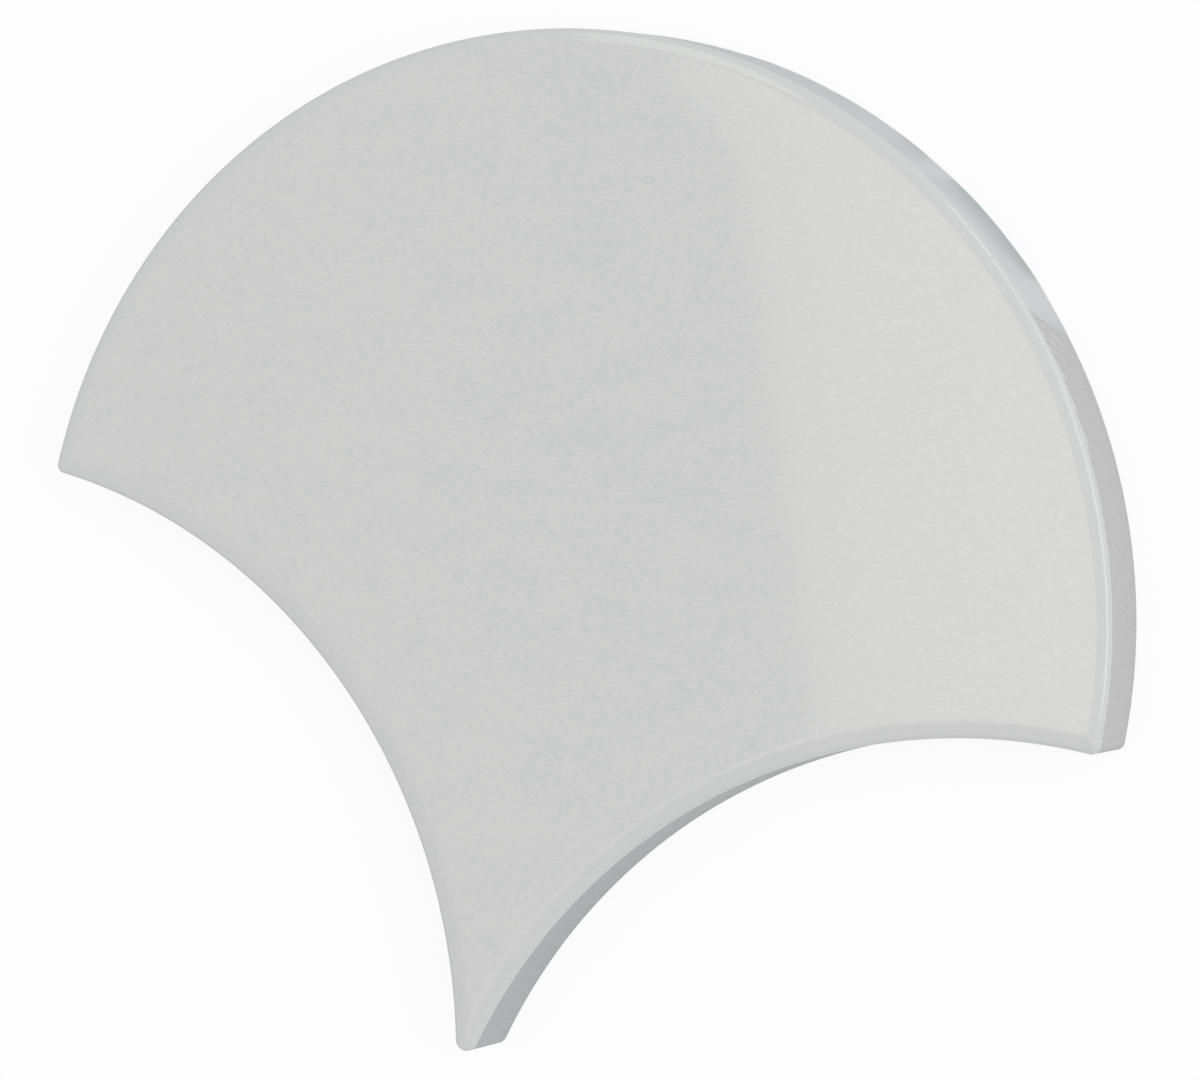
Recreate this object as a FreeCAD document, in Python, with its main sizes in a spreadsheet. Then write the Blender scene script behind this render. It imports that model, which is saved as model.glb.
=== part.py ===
"""Fish scale wall tile: one fired piece with a round crown, two hollow bays and a narrow tip.

The tile lies face up on its back. The origin is the centre of the crown's arc, on the back face,
+Y points to the crown, -Y to the tip and +Z out of the glazed face. Lengths are millimetres.
"""
import FreeCAD, Part
import math
import os
import Sketcher
from FreeCAD import Vector

# Driving dimensions of the tile
SIZES = {
    "tile_width": 120.0,
    "tile_thickness": 8.5,
    "joint_width": 1.5,
    "tip_radius": 1.2,
    "shoulder_radius": 0.9,
    "mitre_radius": 0.25,
    "crown_rim": 1.42,
    "bay_rim": 1.9,
    "bevel_angle": 8.5,
    "edge_radius": 0.63,
    "back_radius": 0.3,
    "key_width": 4.0,
    "key_pitch": 8.0,
    "key_depth": 0.6,
    "key_border": 7.0,
    "key_draft": 30.0,
}

# Number of steps in which the edge's round is drawn, from the upright side up to the bevel, and its
# angle in degrees if there were no bevel
EDGE_STEPS = 4
RIGHT_ANGLE = 90

# How near to the back plane a face's centre has to lie to be the back
FACE_TOLERANCE = 0.001

# Lines and arcs in the outline of one key, and the place of the first key above the origin in pitches
KEY_LINES = 4
FIRST_KEY = 0.5

# Sizes that follow from the driving ones
CROWN_RADIUS = "sizes.tile_width / 2"
BAY_RADIUS = "(sizes.tile_width / 2 + sizes.joint_width)"
BAY_CENTRE = "(sizes.tile_width + sizes.joint_width) / 2"
BEVEL_TURN = "sizes.bevel_angle * 1 deg"
BEVEL_WIDTH = f"(sizes.crown_rim - sizes.edge_radius * (1 - sin({BEVEL_TURN})))"
RIM_DROP = f"(sizes.edge_radius * cos({BEVEL_TURN}) + {BEVEL_WIDTH} * tan({BEVEL_TURN}))"
SIDE_HEIGHT = f"sizes.tile_thickness - {RIM_DROP}"

# The six arcs of the outline, in the order of its sketches, and the named points of an arc
CROWN, LEFT_SHOULDER, LEFT_BAY, TIP, RIGHT_BAY, RIGHT_SHOULDER = range(6)
START, END, CENTRE = 1, 2, 3
SKETCH_ORIGIN = (-1, 1)
OUTLINE_JOINS = (
    (CROWN, END, LEFT_SHOULDER, START),
    (LEFT_SHOULDER, END, LEFT_BAY, END),
    (LEFT_BAY, START, TIP, START),
    (TIP, END, RIGHT_BAY, END),
    (RIGHT_BAY, START, RIGHT_SHOULDER, START),
    (RIGHT_SHOULDER, END, CROWN, START),
)

doc = FreeCAD.newDocument("fish_scale_tile")
sheet = doc.addObject("Spreadsheet::Sheet", "sizes")
for row, (alias, value) in enumerate(SIZES.items(), start=1):
    sheet.set(f"A{row}", alias)
    sheet.set(f"B{row}", str(value))
    sheet.setAlias(f"B{row}", alias)
doc.recompute()

body = doc.addObject("PartDesign::Body", "tile")
body.Label = "tile"
planes = {feature.Role: feature for feature in body.Origin.OriginFeatures}


def arc(centre, radius, start, end):
    """Return the anticlockwise arc between two angles in radians."""
    return Part.ArcOfCircle(Part.Circle(centre, Vector(0, 0, 1), radius), start, end)


def heading(tail, head):
    """Return the angle of the line from one point to another, in radians."""
    return math.atan2(head.y - tail.y, head.x - tail.x)


def outline_arcs():
    """Return the outline's six tangent arcs at the foot of the rim, worked out from the sizes."""
    crown_radius = SIZES["tile_width"] / 2
    bay_radius = crown_radius + SIZES["joint_width"]
    offset = (SIZES["tile_width"] + SIZES["joint_width"]) / 2
    shoulder = SIZES["shoulder_radius"]
    tip = SIZES["tip_radius"]
    centre = Vector(0, 0, 0)
    right_bay = Vector(offset, -offset, 0)
    left_bay = Vector(-offset, -offset, 0)

    # The shoulder's arc touches the crown from inside and the bay from outside
    to_crown = crown_radius - shoulder
    to_bay = bay_radius + shoulder
    span = right_bay.Length
    along = (to_crown**2 - to_bay**2 + span**2) / (2 * span)
    across = math.sqrt(to_crown**2 - along**2)
    turn = heading(centre, right_bay) + math.atan2(across, along)
    right_shoulder = Vector(to_crown * math.cos(turn), to_crown * math.sin(turn), 0)
    left_shoulder = Vector(-right_shoulder.x, right_shoulder.y, 0)
    tip_centre = Vector(0, math.sqrt((bay_radius + tip) ** 2 - offset**2) - offset, 0)

    full_turn = 2 * math.pi
    tip_start = full_turn + heading(tip_centre, left_bay)
    tip_end = full_turn + heading(tip_centre, right_bay)
    return [
        arc(centre, crown_radius, turn, math.pi - turn),
        arc(left_shoulder, shoulder, math.pi - turn, full_turn + heading(left_shoulder, left_bay)),
        arc(left_bay, bay_radius, heading(left_bay, tip_centre), heading(left_bay, left_shoulder)),
        arc(tip_centre, tip, tip_start, tip_end),
        arc(right_bay, bay_radius, heading(right_bay, right_shoulder), heading(right_bay, tip_centre)),
        arc(right_shoulder, shoulder, heading(right_shoulder, right_bay), turn),
    ]


def new_sketch(name, level):
    """Return an empty sketch, parallel to the back face at the given height."""
    sketch = body.newObject("Sketcher::SketchObject", name)
    sketch.AttachmentSupport = (planes["XY_Plane"], [""])
    sketch.MapMode = "FlatFace"
    sketch.setExpression("AttachmentOffset.Base.z", level)
    return sketch


def dimension(sketch, name, size, kind, *place):
    """Add a named dimension to a sketch and bind it to the sheet."""
    index = sketch.addConstraint(Sketcher.Constraint(kind, *place))
    sketch.renameConstraint(index, name)
    sketch.setExpression(f"Constraints.{name}", size)


def scale_sketch(name, level, crown_inset, bay_inset):
    """Draw the tile's outline at a height, drawn in from the full crown and the full bays by two insets."""
    shoulder = f"max(sizes.shoulder_radius - {bay_inset}; sizes.mitre_radius)"
    tip = f"max(sizes.tip_radius - {bay_inset}; sizes.mitre_radius)"
    radii = {
        CROWN: ("crown_radius", f"{CROWN_RADIUS} - {crown_inset}"),
        LEFT_SHOULDER: ("left_shoulder_radius", shoulder),
        LEFT_BAY: ("left_bay_radius", f"{BAY_RADIUS} + {bay_inset}"),
        TIP: ("tip_radius", tip),
        RIGHT_BAY: ("right_bay_radius", f"{BAY_RADIUS} + {bay_inset}"),
        RIGHT_SHOULDER: ("right_shoulder_radius", shoulder),
    }
    sketch = new_sketch(name, level)
    arcs = outline_arcs()
    sketch.addGeometry(arcs, False)
    for join in OUTLINE_JOINS:
        sketch.addConstraint(Sketcher.Constraint("Tangent", *join))
    sketch.addConstraint(Sketcher.Constraint("Coincident", CROWN, CENTRE, *SKETCH_ORIGIN))
    offset = arcs[RIGHT_BAY].Center.x
    left, right = (LEFT_BAY, CENTRE), (RIGHT_BAY, CENTRE)
    dimension(sketch, "left_bay_across", BAY_CENTRE, "DistanceX", *left, *SKETCH_ORIGIN, offset)
    dimension(sketch, "left_bay_below", BAY_CENTRE, "DistanceY", *left, *SKETCH_ORIGIN, offset)
    dimension(sketch, "right_bay_across", BAY_CENTRE, "DistanceX", *SKETCH_ORIGIN, *right, offset)
    dimension(sketch, "right_bay_below", BAY_CENTRE, "DistanceY", *right, *SKETCH_ORIGIN, offset)
    for index, (radius_name, size) in radii.items():
        dimension(sketch, radius_name, size, "Radius", index, arcs[index].Radius)
    return sketch


# Straight side, from the back up to the foot of the rim
side = body.newObject("PartDesign::Pad", "side")
side.Profile = scale_sketch("outline", "0", "0", "0")
side.setExpression("Length", SIDE_HEIGHT)
doc.recompute()

# Rim: a round turns in from the side, and a shallow bevel runs on tangent from it to the face
rim_sections = []
for step in range(EDGE_STEPS + 1):
    turn = f"({RIGHT_ANGLE} - sizes.bevel_angle) * {step / EDGE_STEPS} * 1 deg"
    level = f"{SIDE_HEIGHT} + sizes.edge_radius * sin({turn})"
    inset = f"sizes.edge_radius * (1 - cos({turn}))"
    rim_sections.append(scale_sketch(f"edge_{step}", level, inset, inset))
rim_sections.append(scale_sketch("face_outline", "sizes.tile_thickness", "sizes.crown_rim", "sizes.bay_rim"))
doc.recompute()
rim = body.newObject("PartDesign::AdditiveLoft", "rim")
rim.Profile = rim_sections[0]
rim.Sections = rim_sections[1:]
rim.Ruled = True
doc.recompute()

# Rounded arris between the side and the back
back_face = next(
    f"Face{number}"
    for number, face in enumerate(rim.Shape.Faces, start=1)
    if isinstance(face.Surface, Part.Plane) and face.CenterOfMass.z < FACE_TOLERANCE
)
arris = body.newObject("PartDesign::Fillet", "back_arris")
arris.Base = (rim, [back_face])
arris.setExpression("Radius", "sizes.back_radius")
doc.recompute()


def key_reach(row):
    """Return how far a key's end centre lies from the tile's middle line, and its expression.

    Each end keeps the border's width clear of the crown's arc and of the bay's arc, so the nearer
    of the two decides. A row with no room for a key has no reach.
    """
    level = SIZES["key_pitch"] * row
    clear = SIZES["key_border"] + SIZES["key_width"] / 2
    crown = SIZES["tile_width"] / 2 - clear
    bay = SIZES["tile_width"] / 2 + SIZES["joint_width"] + clear
    offset = (SIZES["tile_width"] + SIZES["joint_width"]) / 2
    if abs(level) >= crown:
        return 0, None
    crown_reach = math.sqrt(crown**2 - level**2)
    clear_size = "(sizes.key_border + sizes.key_width / 2)"
    level_size = f"sizes.key_pitch * {row}"
    crown_size = f"sqrt(({CROWN_RADIUS} - {clear_size})^2 - ({level_size})^2)"
    if level + offset >= bay:
        return crown_reach, crown_size
    bay_reach = offset - math.sqrt(bay**2 - (level + offset) ** 2)
    bay_size = f"{BAY_CENTRE} - sqrt(({BAY_RADIUS} + {clear_size})^2 - ({level_size} + {BAY_CENTRE})^2)"
    if bay_reach < crown_reach:
        return bay_reach, bay_size
    return crown_reach, crown_size


def draw_key(sketch, row, reach, reach_size):
    """Draw one keying groove, a straight slot with round ends, across the back."""
    level = SIZES["key_pitch"] * row
    half = SIZES["key_width"] / 2
    lower, right_end, upper, left_end = range(sketch.GeometryCount, sketch.GeometryCount + KEY_LINES)
    quarter = math.pi / 2
    sketch.addGeometry(
        [
            Part.LineSegment(Vector(-reach, level - half, 0), Vector(reach, level - half, 0)),
            arc(Vector(reach, level, 0), half, -quarter, quarter),
            Part.LineSegment(Vector(reach, level + half, 0), Vector(-reach, level + half, 0)),
            arc(Vector(-reach, level, 0), half, quarter, 3 * quarter),
        ],
        False,
    )
    sketch.addConstraint(
        [
            Sketcher.Constraint("Tangent", lower, END, right_end, START),
            Sketcher.Constraint("Tangent", right_end, END, upper, START),
            Sketcher.Constraint("Tangent", upper, END, left_end, START),
            Sketcher.Constraint("Tangent", left_end, END, lower, START),
            Sketcher.Constraint("Horizontal", lower),
            Sketcher.Constraint("Equal", right_end, left_end),
        ]
    )
    label = f"key_{lower // KEY_LINES + 1}"
    right, left = (right_end, CENTRE), (left_end, CENTRE)
    height = "DistanceY", *SKETCH_ORIGIN, *right, level
    if level < 0:
        height = "DistanceY", *right, *SKETCH_ORIGIN, -level
    dimension(sketch, f"{label}_level", f"sizes.key_pitch * {abs(row)}", *height)
    dimension(sketch, f"{label}_radius", "sizes.key_width / 2", "Radius", right_end, half)
    dimension(sketch, f"{label}_right", reach_size, "DistanceX", *SKETCH_ORIGIN, *right, reach)
    dimension(sketch, f"{label}_left", reach_size, "DistanceX", *left, *SKETCH_ORIGIN, reach)


# Keys: shallow drafted grooves in the back that the bedding adhesive grips, with a land on the origin
key_sketch = new_sketch("key_outline", "0")
rows_each_way = math.ceil(SIZES["tile_width"] / 2 / SIZES["key_pitch"])
for count in range(-rows_each_way, rows_each_way):
    row = count + FIRST_KEY
    reach, reach_size = key_reach(row)
    if reach > SIZES["key_width"] / 2:
        draw_key(key_sketch, row, reach, reach_size)
doc.recompute()
keys = body.newObject("PartDesign::Pocket", "keys")
keys.Profile = key_sketch
keys.Reversed = True
keys.setExpression("Length", "sizes.key_depth")
keys.setExpression("TaperAngle", "-sizes.key_draft")
doc.recompute()

# Every feature has to stand before the shape is written
failed = [item.Name for item in doc.Objects if {"Invalid", "Error"} & set(item.State)]
if failed:
    raise RuntimeError(f"features that failed: {failed}")
if body.Shape.isNull() or not body.Shape.isValid() or len(body.Shape.Solids) != 1:
    raise RuntimeError("the tile is not one valid solid")
if keys.Shape.Volume >= arris.Shape.Volume:
    raise RuntimeError("the keys cut nothing out of the back")

os.makedirs("parts", exist_ok=True)
body.Shape.exportStep(os.path.join("parts", f"{body.Label}.step"))
print(f"{body.Label}: {body.Shape.Volume / 1000:.2f} cubic centimetres, {len(body.Shape.Faces)} faces")
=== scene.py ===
"""Fish scale wall tile: one pressed and glazed ceramic piece, face up on a pale floor under soft light.

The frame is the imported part's own: metres, the origin at the centre of the crown's arc on the back
face, +Y towards the crown, -Y towards the tip and +Z out of the glazed face.
"""
from __future__ import annotations

import functools
import itertools
import logging
import math
from collections.abc import Mapping, Sequence
from dataclasses import dataclass, field
from enum import Enum

import bpy
from mathutils import Euler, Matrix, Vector
from mathutils.geometry import delaunay_2d_cdt


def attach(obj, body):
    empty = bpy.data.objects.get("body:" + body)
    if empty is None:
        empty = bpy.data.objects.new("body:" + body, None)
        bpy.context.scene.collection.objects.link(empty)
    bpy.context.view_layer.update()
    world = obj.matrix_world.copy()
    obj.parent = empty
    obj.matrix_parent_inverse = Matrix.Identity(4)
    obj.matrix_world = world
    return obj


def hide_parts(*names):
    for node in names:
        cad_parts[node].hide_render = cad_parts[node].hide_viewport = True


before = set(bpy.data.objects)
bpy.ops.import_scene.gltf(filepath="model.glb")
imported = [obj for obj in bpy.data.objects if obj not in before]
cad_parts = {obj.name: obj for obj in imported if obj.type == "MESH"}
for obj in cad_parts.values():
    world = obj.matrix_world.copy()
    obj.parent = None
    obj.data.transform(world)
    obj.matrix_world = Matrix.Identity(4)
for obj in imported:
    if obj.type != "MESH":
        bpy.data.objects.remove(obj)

LOG = logging.getLogger("fish_scale_tile")
MM = 0.001
DEGREES = math.degrees(1.0)
FULL_TURN = 2 * math.pi
QUARTER_TURN = math.pi / 2
PLAIN_DETAIL = 2.0
NOISE_MIDDLE = 0.5

# How the face's filling is asked for: only the triangles inside the border, and points this near are one
INSIDE_ONLY = 1
SAME_POINT = 1e-9
QUAD_CORNERS = 4.0

Colour = tuple[float, float, float, float]
Triple = tuple[float, float, float]


class Stored(Enum):
    """Names of the values that the tile's mesh carries from its net to its form and its finish."""

    INSET = "inset"
    BORDER = "border"
    BREAK = "break"
    BULGE = "bulge"
    RISE = "rise"
    REACH = "reach"
    OUTWARD = "outward"
    GLAZE = "glaze_reach"
    BACK = "back"


NET_VALUES = (Stored.INSET, Stored.BORDER, Stored.BREAK, Stored.BULGE, Stored.RISE)


class Wire:
    """A node's output, on which Python's own operators add Math nodes."""

    def __init__(self, graph: Graph, socket: bpy.types.NodeSocket) -> None:
        """Keep the output and the graph that it belongs to."""
        self.graph = graph
        self.socket = socket

    def __add__(self, other: Operand) -> Wire:
        """Sum."""
        return self.graph.math("ADD", self, other)

    def __radd__(self, other: Operand) -> Wire:
        """Sum, with the number first."""
        return self.graph.math("ADD", other, self)

    def __sub__(self, other: Operand) -> Wire:
        """Difference."""
        return self.graph.math("SUBTRACT", self, other)

    def __rsub__(self, other: Operand) -> Wire:
        """Difference, with the number first."""
        return self.graph.math("SUBTRACT", other, self)

    def __mul__(self, other: Operand) -> Wire:
        """Product."""
        return self.graph.math("MULTIPLY", self, other)

    def __rmul__(self, other: Operand) -> Wire:
        """Product, with the number first."""
        return self.graph.math("MULTIPLY", other, self)

    def __truediv__(self, other: Operand) -> Wire:
        """Quotient."""
        return self.graph.math("DIVIDE", self, other)

    def __rtruediv__(self, other: Operand) -> Wire:
        """Quotient, with the number first."""
        return self.graph.math("DIVIDE", other, self)

    def __gt__(self, other: Operand) -> Wire:
        """One where this is the greater, and zero elsewhere."""
        return self.graph.math("GREATER_THAN", self, other)

    def at_least(self, other: Operand) -> Wire:
        """The greater of the two."""
        return self.graph.math("MAXIMUM", self, other)

    def at_most(self, other: Operand) -> Wire:
        """The lesser of the two."""
        return self.graph.math("MINIMUM", self, other)

    def root(self) -> Wire:
        """Square root, or none below zero."""
        return self.graph.math("SQRT", self.at_least(0.0))

    def ease(self, low: float, high: float) -> Wire:
        """Go smoothly from zero at one value to one at another."""
        limits = {"Value": self, "From Min": low, "From Max": high}
        return self.graph.node("ShaderNodeMapRange", {"interpolation_type": "SMOOTHSTEP"}, limits)["Result"]


Operand = Wire | float


def _socket(sockets: Sequence[bpy.types.NodeSocket], key: str | int) -> bpy.types.NodeSocket:
    """Return a node's socket by its number, or by its name among those that are in use."""
    named = (socket for socket in sockets if socket.enabled and socket.name == key)
    return sockets[key] if isinstance(key, int) else next(named)


@dataclass(frozen=True)
class Outlets:
    """A node of a graph, whose outputs are looked up by name or number."""

    graph: Graph
    node: bpy.types.Node

    def __getitem__(self, key: str | int) -> Wire:
        """Return an output as a wire."""
        return Wire(self.graph, _socket(self.node.outputs, key))


class Graph:
    """A node tree under construction, for a finish, a form or a light."""

    def __init__(self, tree: bpy.types.NodeTree) -> None:
        """Start from an empty tree."""
        self.tree = tree
        self.tree.nodes.clear()

    def node(
        self,
        kind: str,
        settings: Mapping[str, object] | None = None,
        sockets: Mapping[str | int, object] | None = None,
    ) -> Outlets:
        """Add a node.

        Args:
            kind: the node's type.
            settings: properties of the node, which are set before its sockets.
            sockets: a value or a wire for each input, by name or number.

        Returns:
            The node's outputs.
        """
        made = self.tree.nodes.new(kind)
        for name, value in (settings or {}).items():
            setattr(made, name, value)
        for key, value in (sockets or {}).items():
            socket = _socket(made.inputs, key)
            if isinstance(value, Wire):
                self.tree.links.new(value.socket, socket)
            else:
                socket.default_value = value
        return Outlets(self, made)

    def math(self, operation: str, *operands: Operand) -> Wire:
        """Add a Math node and return its result."""
        return self.node("ShaderNodeMath", {"operation": operation}, dict(enumerate(operands)))[0]

    def vector(self, operation: str, *operands: Wire | Triple) -> Outlets:
        """Add a Vector Math node."""
        return self.node("ShaderNodeVectorMath", {"operation": operation}, dict(enumerate(operands)))

    def scaled(self, direction: Wire, length: Operand) -> Wire:
        """Return a direction stretched by a length."""
        sockets = {"Vector": direction, "Scale": length}
        return self.node("ShaderNodeVectorMath", {"operation": "SCALE"}, sockets)[0]

    def parts(self, vector: Wire) -> Outlets:
        """Part a vector into its X, Y and Z."""
        return self.node("ShaderNodeSeparateXYZ", None, {"Vector": vector})

    def joined(self, **parts: Operand) -> Wire:
        """Return a vector put together from its X, Y and Z."""
        return self.node("ShaderNodeCombineXYZ", None, parts)[0]

    def turn(self, place: Wire) -> Wire:
        """Return a point's turn round the crown, in degrees from +X."""
        parts = self.parts(place)
        return self.math("ARCTAN2", parts["Y"], parts["X"]) * DEGREES

    def noise(
        self,
        place: Wire,
        scale: float,
        detail: float = PLAIN_DETAIL,
        seed: Wire | None = None,
    ) -> Wire:
        """Add a soft noise.

        Args:
            place: the point.
            scale: how many waves go into one unit of the place.
            detail: how many finer noises lie over the first.
            seed: a fourth coordinate, where there is one.

        Returns:
            The noise, from none to one.
        """
        sockets = {"Vector": place, "Scale": scale, "Detail": detail}
        if seed is None:
            return self.node("ShaderNodeTexNoise", None, sockets)[0]
        return self.node("ShaderNodeTexNoise", {"noise_dimensions": "4D"}, {**sockets, "W": seed})[0]

    def blend(self, share: Operand, first: Wire | Colour, second: Wire | Colour) -> Wire:
        """Return the first colour with a share of the second mixed in."""
        sockets = {"Factor": share, "A": first, "B": second}
        return self.node("ShaderNodeMix", {"data_type": "RGBA"}, sockets)["Result"]


class FinishGraph(Graph):
    """A material's node tree, which starts from the point on the piece."""

    def __init__(self, name: str) -> None:
        """Start a material.

        Args:
            name: the material's name.
        """
        self.material = bpy.data.materials.new(name)
        self.material.use_nodes = True
        super().__init__(self.material.node_tree)
        self.place = self.node("ShaderNodeTexCoord")["Object"]

    def read(self, stored: Stored) -> Wire:
        """Return a value that the mesh carries."""
        return self.node("ShaderNodeAttribute", {"attribute_name": stored.value})["Fac"]

    def surface(self, colour: Wire, roughness: Operand, height: Wire, distance: float) -> Wire:
        """Add a surface with fine relief.

        Args:
            colour: its colour.
            roughness: its roughness.
            height: its relief, from none to one.
            distance: how high one stands.

        Returns:
            The shader.
        """
        normal = self.node("ShaderNodeBump", None, {"Distance": distance, "Height": height})[0]
        sockets = {"Base Color": colour, "Roughness": roughness, "Normal": normal}
        return self.node("ShaderNodeBsdfPrincipled", None, sockets)[0]

    def close(self, share: Wire, first: Wire, second: Wire) -> bpy.types.Material:
        """Finish the material with a mix of two shaders.

        Args:
            share: how much of the second shader shows.
            first: shader where the share is zero.
            second: shader where the share is one.

        Returns:
            The material.
        """
        mixed = self.node("ShaderNodeMixShader", None, {0: share, 1: first, 2: second})[0]
        self.node("ShaderNodeOutputMaterial", None, {"Surface": mixed})
        return self.material


class FormGraph(Graph):
    """A Geometry Nodes tree with named inputs."""

    def __init__(self, name: str) -> None:
        """Start a tree that takes one geometry and gives one.

        Args:
            name: the tree's name.
        """
        super().__init__(bpy.data.node_groups.new(name, "GeometryNodeTree"))
        self.values: dict[str, object] = {}
        for way in ("INPUT", "OUTPUT"):
            self.tree.interface.new_socket("Geometry", in_out=way, socket_type="NodeSocketGeometry")
        self.entry = self.node("NodeGroupInput")
        self.position = self.node("GeometryNodeInputPosition")[0]

    def size(self, name: str, value: float, kind: str = "NodeSocketFloat") -> Wire:
        """Add a named input and remember the value that the modifier gives it.

        Args:
            name: the input's name.
            value: the value for the modifier.
            kind: the input's socket type.

        Returns:
            The input as a wire.
        """
        socket = self.tree.interface.new_socket(name, in_out="INPUT", socket_type=kind)
        self.values[socket.identifier] = value
        return self.entry[name]

    def read(self, stored: Stored, kind: str = "FLOAT") -> Wire:
        """Return a value that the mesh carries."""
        settings = {"data_type": kind}
        return self.node("GeometryNodeInputNamedAttribute", settings, {"Name": stored.value})["Attribute"]

    def store(self, geometry: Wire, stored: Stored, value: Operand) -> Wire:
        """Return a geometry whose points carry a value."""
        sockets = {"Geometry": geometry, "Name": stored.value, "Value": value}
        return self.node("GeometryNodeStoreNamedAttribute", {"domain": "POINT"}, sockets)[0]

    def close(self, geometry: Wire) -> None:
        """Join the finished geometry to the tree's output."""
        self.node("NodeGroupOutput", None, {"Geometry": geometry})

    def make(self, piece: bpy.types.Object) -> None:
        """Run the tree on an object and keep the result as its plain mesh.

        Args:
            piece: the object, whose mesh is replaced.
        """
        modifier = piece.modifiers.new(self.tree.name, "NODES")
        modifier.node_group = self.tree
        for identifier, value in self.values.items():
            modifier[identifier] = value
        depsgraph = bpy.context.evaluated_depsgraph_get()
        result = piece.evaluated_get(depsgraph)
        mesh = bpy.data.meshes.new_from_object(result, preserve_all_data_layers=True, depsgraph=depsgraph)
        piece.modifiers.remove(modifier)
        piece.data = mesh


@dataclass(frozen=True)
class RunPatch:
    """A patch in the run of glaze, half an ellipse that stands on the back edge and fades upwards.

    The turn of its middle and its spread are degrees round the crown, the softness is the part of the
    spread over which its edge fades, and the share is its strength.
    """

    turn: float
    spread: float
    top: float
    softness: float
    share: float


@dataclass(frozen=True)
class Scratch:
    """A fine scratch on the crown's side.

    The turn, in degrees round the crown, and the height are those of its upper end.
    """

    turn: float
    height: float
    length: float


@dataclass(frozen=True)
class GlazedCeramic:
    """Pale grey glossy glaze over a matte pressed body, parted where the glaze ran out."""

    face_dark: Colour = (0.612, 0.612, 0.601, 1.0)
    face_light: Colour = (0.646, 0.646, 0.635, 1.0)
    fleck: Colour = (0.595, 0.605, 0.605, 1.0)
    pale: Colour = (0.655, 0.656, 0.642, 1.0)
    crown_rim: Colour = (0.608, 0.619, 0.612, 1.0)
    # The bays' rim is a darker grey: painted shade where the bays face away from the light
    bay_rim: Colour = (0.588, 0.594, 0.589, 1.0)
    # Thin glaze over the rounded edge, darker: partly real thin glaze, partly painted shade where the edge
    # rolls away
    thin_glaze_and_shade: Colour = (0.570, 0.576, 0.571, 1.0)
    run: Colour = (0.494, 0.509, 0.516, 1.0)
    run_crest: Colour = (0.568, 0.566, 0.578, 1.0)
    # Dark grey of the run's hollows: painted shade
    run_shade: Colour = (0.362, 0.390, 0.400, 1.0)
    body_dark: Colour = (0.441, 0.442, 0.434, 1.0)
    body_light: Colour = (0.514, 0.515, 0.507, 1.0)
    # Darker, cooler greys of the bare side in the bays: painted shade
    shaded_bay_dark: Colour = (0.384, 0.404, 0.409, 1.0)
    shaded_bay_light: Colour = (0.450, 0.472, 0.477, 1.0)
    scratch: Colour = (0.720, 0.720, 0.715, 1.0)
    gloss: float = 0.04
    run_dullness: float = 0.5
    body_roughness: float = 0.88
    crown_radius: float = 60.0 * MM

    # Mottle: flecks in turned streaks, thicker in a band across the face and cleared beyond it
    streak_turn: float = math.radians(14.0)
    streak_size: Triple = (0.68 * MM, 0.28 * MM, 0.28 * MM)
    band_way: Triple = (0.92, 0.39, 0.0)
    band_start: float = -22.0 * MM
    band_full: float = 14.0 * MM
    band_fall: float = 24.0 * MM
    band_end: float = 32.0 * MM
    band_share: float = 0.055
    clear_share: float = 0.10
    fleck_level: float = 0.59
    pale_level: float = 0.38
    fleck_softness: float = 0.07
    cluster_scale: float = 0.07
    cluster_share: float = 0.26
    speck_scale: float = 6500.0
    speck_range: tuple[float, float] = (0.3, 0.7)

    # Relief of the glaze and of the body, and the uneven edge between them
    peel_scale: float = 800.0
    peel_height: float = 0.0014 * MM
    grain_scale: float = 3600.0
    grain_height: float = 0.06 * MM
    grain_range: tuple[float, float] = (0.25, 0.75)
    edge_scale: float = 1500.0
    edge_waver: float = 0.16 * MM
    edge_softness: float = 0.04 * MM
    back_reach: float = 0.1 * MM
    back_share: float = 0.05

    # Rim and bays: where the greys of the crown pass into the darker, cooler greys of the bays, painted
    # shade on the bays' rim and bare side, and the darker thin glaze over the edge, partly painted shade
    rim_blend: float = 0.4
    rim_evenness: float = 0.6
    thin_glaze_and_shade_reach: float = 0.65 * MM
    bay_start: float = 5.0 * MM
    bay_full: float = -1.0 * MM
    shade_start: float = 5.0 * MM
    shade_full: float = -36.0 * MM

    # Run of glaze down the crown's side, with painted shade low in its hollows, and the scratches beside it
    run_foot: float = 6.4 * MM
    run_top: float = 8.0 * MM
    dull_start: float = 8.2 * MM
    dull_full: float = 7.3 * MM
    run_crests: tuple[RunPatch, ...] = (
        RunPatch(45.8, 4.0, 60.0 * MM, 0.7, 0.85),
        RunPatch(52.0, 9.0, 24.0 * MM, 0.8, 0.7),
        RunPatch(61.9, 2.2, 60.0 * MM, 0.8, 0.7),
        RunPatch(68.5, 3.6, 60.0 * MM, 0.9, 0.4),
    )
    # Hollows: painted shade, darker towards the back edge
    run_shade_patches: tuple[RunPatch, ...] = (
        RunPatch(54.0, 7.7, 7.4 * MM, 0.4, 1.0),
        RunPatch(65.7, 2.2, 3.6 * MM, 0.5, 0.7),
    )
    scratch_slope: float = math.radians(54.0)
    scratch_width: float = 0.11 * MM
    scratch_fade: float = 0.35 * MM
    scratches: tuple[Scratch, ...] = (
        Scratch(41.9, 5.1 * MM, 2.7 * MM),
        Scratch(43.0, 6.7 * MM, 1.2 * MM),
        Scratch(41.2, 6.3 * MM, 1.4 * MM),
        Scratch(40.5, 7.3 * MM, 2.0 * MM),
        Scratch(42.0, 7.2 * MM, 0.8 * MM),
        Scratch(37.7, 7.4 * MM, 1.1 * MM),
        Scratch(31.2, 7.4 * MM, 0.9 * MM),
    )

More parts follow.
